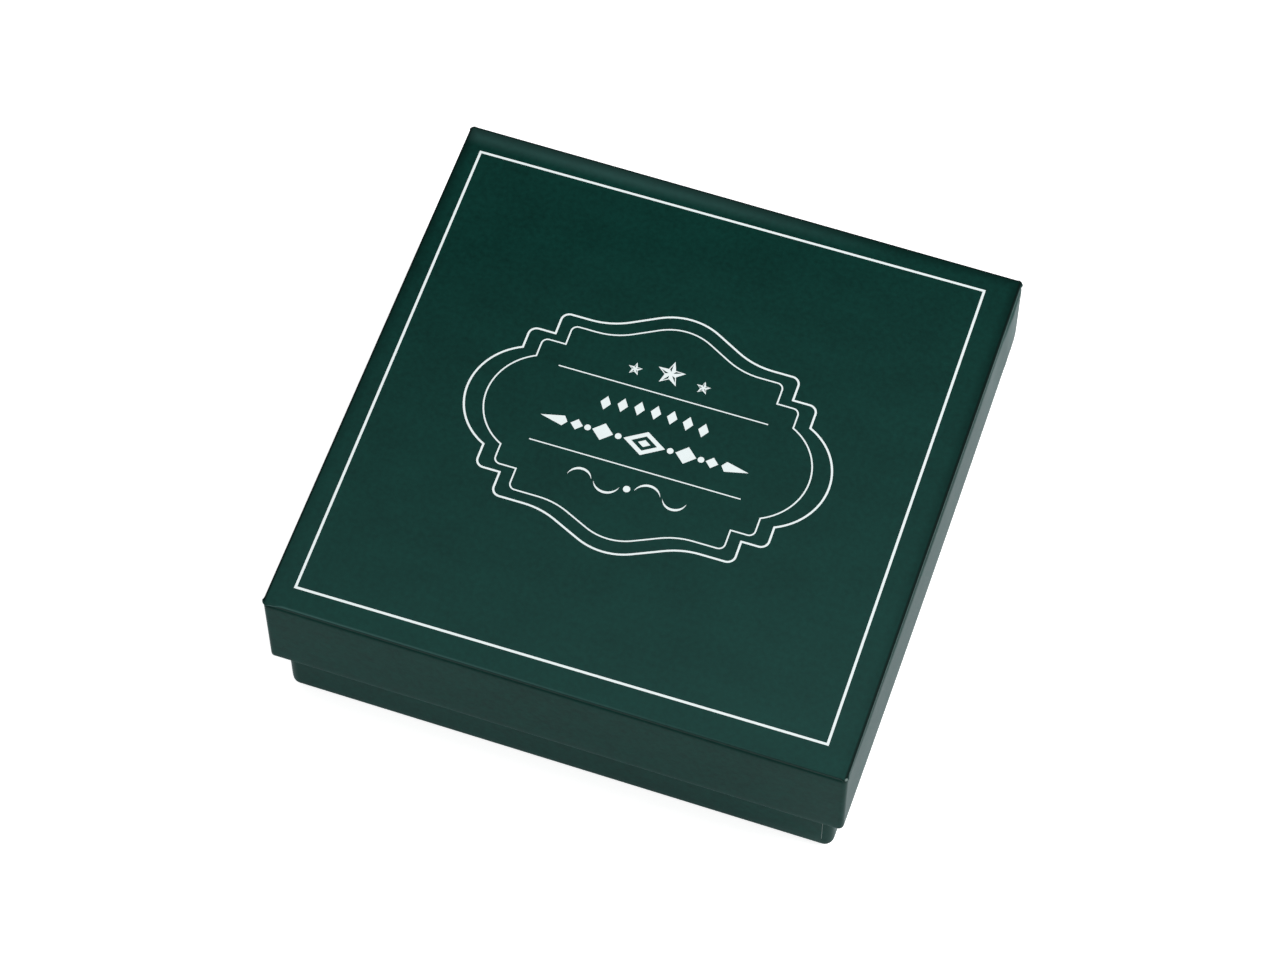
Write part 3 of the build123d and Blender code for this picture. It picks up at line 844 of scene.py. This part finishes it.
def stripe(name, path, radius, material, slot):
    """A thin line of chocolate piped along a path, thinner at its ends."""
    end_width, taper_points = 0.45, 4
    curve = bpy.data.curves.new(name, "CURVE")
    curve.dimensions = "3D"
    curve.bevel_depth = radius
    curve.bevel_resolution = 3
    curve.use_fill_caps = True
    spline = curve.splines.new("POLY")
    spline.points.add(len(path) - 1)
    for index, (point, place) in enumerate(zip(spline.points, path)):
        point.co = (*place, 1)
        inward = min(index, len(path) - 1 - index) / taper_points
        point.radius = min(1.0, end_width + (1 - end_width) * inward)
    line = show(name, curve)
    bpy.context.view_layer.update()
    mesh = final_mesh(line)
    mesh.materials.clear()
    mesh.materials.append(material)
    mesh.shade_smooth()
    bpy.data.objects.remove(line)
    seat(show(name, mesh), "base", slot)


def dome_height(radius, half, height):
    """Height of the domed praline's top at a distance from its axis."""
    return height * max(0.0, 1 - (radius / half) ** DOME_POWER) ** (1 / DOME_POWER)


def make_dome(node, turn, filling, skins):
    """A domed milk praline under a zigzag stripe of white chocolate."""
    foot, half, height = middle(node)

    def point(share, angle):
        part, along = stretch(share, 0.12)
        if part == 0:
            radius, z = half * along, 0.0
        else:
            z = height * smooth_step(0.0, 1.0, along) ** 0.9
            radius = half * (1 - (z / height) ** DOME_POWER) ** (1 / DOME_POWER)
        spread = 1 + 0.012 * noise.noise(polar(2, angle, 4 * sin(share * pi / 2) + turn))
        return foot + polar(radius * spread, angle, z)

    piece = lathe(node.replace("praline", "chocolate"), 34, 64, point, skins["milk"])
    seat(piece, "base", "milk_chocolate", node)
    reach, passes, steps = 0.66 * half, 6, 90
    path = []
    for step in range(steps + 1):
        share = step / steps
        x = reach * (2 * share - 1)
        y = 0.92 * (reach**2 * 1.15 - x * x) ** 0.5 * sin(pi * passes * share + 0.6)
        across = Vector((x, y, 0)) @ Matrix.Rotation(turn, 3, "Z")
        z = dome_height(hypot(across.x, across.y), half, height) + 0.25 * filling.stripe
        path.append(foot + Vector((across.x, across.y, z)))
    stripe(node.replace("praline", "stripe"), path, filling.stripe, skins["white"], "white_chocolate")


def make_square(node, turn, filling, skins):
    """A square dark praline with three slanting stripes across its top."""
    foot, half, height = middle(node)
    top_half, round_edge = half - 1.1 * MM, 1.5 * MM
    squareness, ripple_start, ripple_size, ripple_height = 5, 0.7, 3 * MM, 0.1 * MM

    def point(share, angle):
        part, along = stretch(share, 0.15, 0.6, 0.75)
        if part == 0:
            size, z = half * along, 0.0
        elif part == 1:
            size, z = half + (top_half - half) * along, (height - round_edge) * along
        elif part == 2:
            bend = along * pi / 2
            size = top_half - round_edge * (1 - cos(bend))
            z = height - round_edge + round_edge * sin(bend)
        else:
            size, z = (top_half - round_edge) * (1 - along), height
        wide = (abs(cos(angle)) ** squareness + abs(sin(angle)) ** squareness) ** (-1 / squareness)
        if share > ripple_start:
            z += ripple_height * noise.noise(polar(size, angle, z) / ripple_size + Vector((turn, 0, 0)))
        return foot + polar(size * wide, angle, z)

    piece = lathe(node.replace("praline", "chocolate"), 40, 72, point, skins["dark"])
    seat(piece, "base", "dark_chocolate", node)
    half_steps, reach, slant, wander = 12, 0.74 * top_half, 0.28, 0.25 * MM
    for number, shift in enumerate((-0.42, 0.0, 0.42)):
        path = []
        for step in range(2 * half_steps + 1):
            along = (step / half_steps - 1) * reach
            across = shift * top_half + slant * along + wander * sin(9 * step / 24 + number)
            path.append(foot + Vector((along, across, height + 0.12 * MM)))
        name = f"{node.replace('praline', 'stripe')}_{number + 1}"
        stripe(name, path, 0.8 * filling.stripe, skins["milk"], "milk_chocolate")


def make_truffle(node, turn, filling, skins):
    """A cocoa-dusted truffle, rolled by hand."""
    foot, radius, height = middle(node)
    centre = height - radius

    def point(share, angle):
        tilt = pi * share
        place = polar(sin(tilt), angle, -cos(tilt))
        lumps = noise.noise(1.6 * place + Vector((turn, 0, 0)))
        lumps += 0.5 * noise.noise(5 * place + Vector((0, turn, 0)))
        fine = noise.noise(14 * place + Vector((turn, turn, 0)))
        reach = radius * (0.965 + 0.03 * lumps + 0.012 * fine)
        return foot + Vector((reach * place.x, reach * place.y, max(0.0, centre + reach * place.z)))

    piece = lathe(node.replace("praline", "ball"), 44, 72, point, skins["cocoa"])
    seat(piece, "base", "cocoa_truffle", node)


def kernel_size():
    """Radius of the nut kernels and the height of their middles."""
    low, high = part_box("praline_nuts")
    places = [middle(node)[0].x for node in nodes_named("rosette_praline")]
    radius = (high.x - low.x - (max(places) - min(places))) / 2
    return radius, high.z - radius


def make_rosette(node, turn, filling, skins):
    """A piped white rosette: eight twisted ribs that draw in towards a hollow for its nut."""
    foot, half, height = middle(node)
    nut_radius, nut_z = kernel_size()
    hollow = nut_radius + 0.15 * MM
    crest, rib_depth, ribs, twist = 0.9 * MM, 0.6 * MM, 8, radians(70)
    top_radius, low_radius = hollow + 2 * crest, 0.95 * half

    def side(up):
        radius = low_radius + (top_radius - low_radius) * smooth_step(0.0, 1.0, up)
        return radius + 0.6 * MM * sin(pi * min(1.0, 1.7 * up)), (height - crest) * up

    def point(share, angle):
        part, along = stretch(share, 0.08, 0.66, 0.82)
        if part == 0:
            radius, z, rib = side(0.0)[0] * along, 0.0, 0.0
        elif part == 1:
            radius, z = side(along)
            rib = rib_depth + 0.5 * MM * sin(pi * along)
        elif part == 2:
            bend = pi * along
            radius, z = top_radius - crest + crest * cos(bend), height - crest + crest * sin(bend)
            rib = rib_depth * (1 + cos(bend)) / 2
        else:
            dip = pi / 2 * along
            radius, rib = hollow * cos(dip), 0.0
            z = min(height - crest, nut_z - foot.z - hollow * sin(dip))
        spin = ribs * (angle + twist * min(z, height) / height) + turn
        ridge = abs(cos(spin / 2)) * 2 - 1
        return foot + polar(max(0.0, radius - rib * (1 - ridge) * 0.75), angle, z)

    piece = lathe(node.replace("praline", "piping"), 50, 128, point, skins["white"])
    seat(piece, "base", "white_chocolate", node)


def make_nuts(material):
    """The four roasted kernels on the rosettes, in one piece as their solids are."""
    low_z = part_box("praline_nuts")[0].z
    radius, middle_z = kernel_size()
    rows, columns, waist, draw_in = 22, 36, 0.62 * pi, 0.14
    points, faces = [], []
    for number, node in enumerate(nodes_named("rosette_praline")):
        foot = middle(node)[0]

        def point(row, angle):
            tilt = pi * row / rows
            uneven = noise.noise(polar(1.3, angle, 0.6 * tilt + 5 * number))
            swell = 1 + 0.01 * cos(9 * angle + number) + 0.025 * uneven
            point_in = draw_in * smooth_step(waist, pi, tilt)
            reach = radius * sin(tilt) * (swell - point_in) if 0 < row < rows else 0.0
            z = max(low_z, middle_z - radius * cos(tilt))
            return Vector((foot.x + reach * cos(angle), foot.y + reach * sin(angle), z))

        kernel, kernel_faces = skin(round_rings(range(rows + 1), columns, point))
        faces += [tuple(len(points) + corner for corner in face) for face in kernel_faces]
        points += kernel
    piece = new_piece("nut_kernels", points, faces, [material])
    weld = piece.modifiers.new("poles", "WELD")
    weld.merge_threshold = 0.001 * MM
    settle(piece)
    seat(piece, "base", "nut_kernel", "praline_nuts")


def make_cushion(material):
    """The quilted wadding pad: pillows between pressed lines, thin and crimped at the edge."""
    low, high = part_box("cushion_pad")
    pillows, steps, rim_width = 8, 96, 3.2 * MM
    width, thick = high.x - low.x, high.z - low.z
    pitch = width / pillows

    def pillow(x, y):
        groove = min(abs(sin(pi * x / pitch)), abs(sin(pi * y / pitch)))
        rim = min(1.0, min(high.x - abs(x), high.y - abs(y)) / rim_width)
        crimp = (1 - (1 - rim) ** 2) ** 0.5
        soft = 0.07 * noise.noise(Vector((x, y, 0)) / (11 * MM))
        return (0.25 + 0.75 * crimp) * (0.5 + 0.46 * min(1.0, groove * 1.3) ** 0.65 + soft)

    points, faces = [], []
    count = steps + 1
    for swell in (-0.45, 0.5):
        for row in range(count):
            for column in range(count):
                x = low.x + width * column / steps
                y = low.y + width * row / steps
                shape = min(1.0, pillow(x, y))
                points.append(Vector((x, y, low.z + thick * (0.5 + swell * shape))))
    upper = count * count
    for row in range(steps):
        for column in range(steps):
            a, b = row * count + column, row * count + column + 1
            c, d = b + count, a + count
            faces += [(d, c, b, a), (upper + a, upper + b, upper + c, upper + d)]
    for step in range(steps):
        front, back = step, steps * count + step
        left, right = step * count, step * count + steps
        edges = ((front, front + 1), (back + 1, back), (left + count, left), (right, right + count))
        faces += [(start, stop, upper + stop, upper + start) for start, stop in edges]
    piece = new_piece("quilted_cushion", points, faces, [material])
    seat(piece, "pad", "wadding", "cushion_pad")


class PRALINE_OT_lid_paper(bpy.types.Operator):
    """Covers the lid's board in green paper"""

    bl_idname = "praline.lid_paper"
    bl_label = "Lid Paper"

    def execute(self, context):
        make_lid_paper(context.scene.praline_paper)
        return {"FINISHED"}


class PRALINE_OT_base_paper(bpy.types.Operator):
    """Covers the base's board in green paper, with its lap, and glues the sheet under it"""

    bl_idname = "praline.base_paper"
    bl_label = "Base Paper"

    def execute(self, context):
        make_base_paper(context.scene.praline_paper)
        dress("base_bottom_sheet", green_paper(context.scene.praline_paper))
        return {"FINISHED"}


class PRALINE_OT_foil(bpy.types.Operator):
    """Gives the stamped foil its silver"""

    bl_idname = "praline.foil"
    bl_label = "Foil"

    def execute(self, context):
        silver = silver_foil(context.scene.praline_foil)
        for node in nodes_named("foil_"):
            dress(node, silver)
        return {"FINISHED"}


class PRALINE_OT_boards(bpy.types.Operator):
    """Gives the boards, tapes and linings their paper finishes"""

    bl_idname = "praline.boards"
    bl_label = "Boards and Linings"

    def execute(self, context):
        grey = fibre_board("greyboard", paint(150, 145, 136), 0.4, 0.9)
        tape = fibre_board("kraft_tape", paint(190, 158, 120), 0.2, 0.7)
        lining = fibre_board("lining_paper", context.scene.praline_filling.lining, 0.1, 0.8, 0.3)
        for part in ("lid", "base"):
            dress(part + "_board", grey)
            dress(part + "_corner_tapes", tape)
            dress(part + "_lining", lining)
        return {"FINISHED"}


class PRALINE_OT_grid(bpy.types.Operator):
    """Gives the grid's strips their card finish"""

    bl_idname = "praline.grid"
    bl_label = "Card Grid"

    def execute(self, context):
        card = fibre_board("grid_card", context.scene.praline_filling.card, 0.15, 0.75, 0.35)
        for node in nodes_named("divider_"):
            dress(node, card)
        return {"FINISHED"}


class PRALINE_OT_cushion(bpy.types.Operator):
    """Builds the quilted cushion that lies on the grid"""

    bl_idname = "praline.cushion"
    bl_label = "Cushion"

    def execute(self, context):
        make_cushion(tissue_wadding(context.scene.praline_filling))
        return {"FINISHED"}


class PRALINE_OT_cups(bpy.types.Operator):
    """Builds the fluted paper cups"""

    bl_idname = "praline.cups"
    bl_label = "Fluted Cups"

    def execute(self, context):
        filling = context.scene.praline_filling
        material = pleated_paper(filling)
        for number, node in enumerate(nodes_named("paper_cup")):
            make_cup(node, 1.7 * number, filling, material)
        return {"FINISHED"}


class PRALINE_OT_pralines(bpy.types.Operator):
    """Builds the four kinds of praline and the kernels on the rosettes"""

    bl_idname = "praline.pralines"
    bl_label = "Pralines"

    def execute(self, context):
        filling = context.scene.praline_filling
        skins = {
            "milk": chocolate("milk_chocolate", filling.milk, 0.24, 0.3),
            "dark": chocolate("dark_chocolate", filling.dark, 0.2, 0.3),
            "white": chocolate("white_chocolate", filling.white, 0.34, 0.2),
            "cocoa": cocoa_dust(filling),
        }
        makers = {
            "dome": make_dome, "square": make_square, "truffle": make_truffle, "rosette": make_rosette,
        }
        for kind, maker in makers.items():
            for number, node in enumerate(nodes_named(kind + "_praline")):
                maker(node, 2.4 * number + 0.4, filling, skins)
        make_nuts(nut_skin(filling))
        return {"FINISHED"}


class PRALINE_OT_stage(bpy.types.Operator):
    """Sets up the camera, the white floor and the soft light"""

    bl_idname = "praline.stage"
    bl_label = "Stage"

    def execute(self, context):
        stage = context.scene.praline_stage
        set_camera(context.scene, stage)
        set_floor(stage)
        set_light(context.scene, stage)
        return {"FINISHED"}


def set_camera(scene, stage):
    """Puts the camera where the photograph was taken from."""
    flat = cos(stage.height)
    back = Vector((sin(stage.yaw) * flat, -cos(stage.yaw) * flat, sin(stage.height)))
    right = Vector((0, 0, 1)).cross(back).normalized()
    up = back.cross(right)
    right, up = (
        cos(stage.roll) * right + sin(stage.roll) * up,
        cos(stage.roll) * up - sin(stage.roll) * right,
    )
    data = bpy.data.cameras.new("photo_view")
    data.sensor_width = 36
    data.lens = stage.lens
    data.clip_start = 0.01
    camera = show("photo_view", data)
    place = stage.aim_right * right + stage.aim_up * up + stage.reach * back
    camera.matrix_world = Matrix.Translation(place) @ Matrix((right, up, back)).transposed().to_4x4()
    scene.camera = camera


def shown_rays(g):
    """1 for the rays that see the backdrop: straight, mirrored or through glass."""
    kinds = ("Is Camera Ray", "Is Glossy Ray", "Is Transmission Ray")
    seen, mirrored, through = [g.node("ShaderNodeLightPath", output=kind) for kind in kinds]
    return g.maths("ADD", seen + mirrored, through, clamp=True)


def set_floor(stage):
    """A wide white floor that keeps the box's shadow and looks white past it."""
    g = Graph("white_floor")
    shown = shown_rays(g)
    plain = g.node("ShaderNodeBsdfDiffuse", {}, {"Color": solid((0.9, 0.9, 0.9))})
    seen = g.node("ShaderNodeLightPath", output="Is Camera Ray")
    tint = g.blend(seen, solid((0.78, 0.92, 1)), solid((1, 1, 1)))
    glow = g.node("ShaderNodeEmission", {}, {"Color": tint, "Strength": shown * stage.floor_lift})
    both = g.node("ShaderNodeAddShader", {}, {0: plain, 1: glow})
    g.node("ShaderNodeOutputMaterial", {}, {"Surface": both})
    half = 3.0
    corners = [(-half, -half, 0), (half, -half, 0), (half, half, 0), (-half, half, 0)]
    floor = new_piece("floor", corners, [(0, 1, 2, 3)], [g.material])


def add_lamp(name, place, width, power):
    """A square softbox that looks at the box."""
    data = bpy.data.lights.new(name, "AREA")
    data.shape = "SQUARE"
    data.size = width
    data.energy = power
    lamp = show(name, data)
    lamp.location = place
    lamp.rotation_euler = Vector(place).to_track_quat("Z", "Y").to_euler()


def set_light(scene, stage):
    """Soft light from all round, with a key lamp over the right side and a fill at the front."""
    scene.view_settings.view_transform = "Standard"
    g = Graph("studio", "worlds")
    white = solid((1, 1, 1))
    around = g.node("ShaderNodeBackground", {}, {"Color": white, "Strength": stage.ambient})
    backdrop = g.node("ShaderNodeBackground", {}, {"Color": white})
    mixed = g.node("ShaderNodeMixShader", {}, {0: shown_rays(g), 1: around, 2: backdrop})
    g.node("ShaderNodeOutputWorld", {}, {"Surface": mixed})
    scene.world = g.material
    add_lamp("key_lamp", (0.75, 0.25, 0.75), 0.7, stage.key)
    add_lamp("fill_lamp", (-0.35, -0.95, 0.45), 0.6, stage.fill)


class PRALINE_PT_panel(bpy.types.Panel):
    """Lists the pieces of the praline box"""

    bl_idname = "PRALINE_PT_panel"
    bl_label = "Praline Box"
    bl_space_type = "VIEW_3D"
    bl_region_type = "UI"
    bl_category = "Praline Box"

    def draw(self, context):
        for operator in OPERATORS:
            self.layout.operator(operator.bl_idname)
        for group in SETTINGS:
            holder = getattr(context.scene, group)
            column = self.layout.column(heading=group)
            for name in holder.__annotations__:
                column.prop(holder, name)


OPERATORS = (
    PRALINE_OT_stage, PRALINE_OT_lid_paper, PRALINE_OT_base_paper, PRALINE_OT_foil, PRALINE_OT_boards,
    PRALINE_OT_grid, PRALINE_OT_cushion, PRALINE_OT_cups, PRALINE_OT_pralines,
)


def register():
    """Registers the settings, the operators and the panel."""
    for name, group in SETTINGS.items():
        bpy.utils.register_class(group)
        setattr(bpy.types.Scene, name, bpy.props.PointerProperty(type=group))
    for operator in OPERATORS:
        bpy.utils.register_class(operator)
    bpy.utils.register_class(PRALINE_PT_panel)


def unregister():
    """Takes them out again."""
    bpy.utils.unregister_class(PRALINE_PT_panel)
    for operator in reversed(OPERATORS):
        bpy.utils.unregister_class(operator)
    for name, group in SETTINGS.items():
        delattr(bpy.types.Scene, name)
        bpy.utils.unregister_class(group)


def main():
    """Builds every piece."""
    register()
    for operator in OPERATORS:
        group, action = operator.bl_idname.split(".")
        getattr(getattr(bpy.ops, group), action)()


if __name__ == "__main__":
    main()
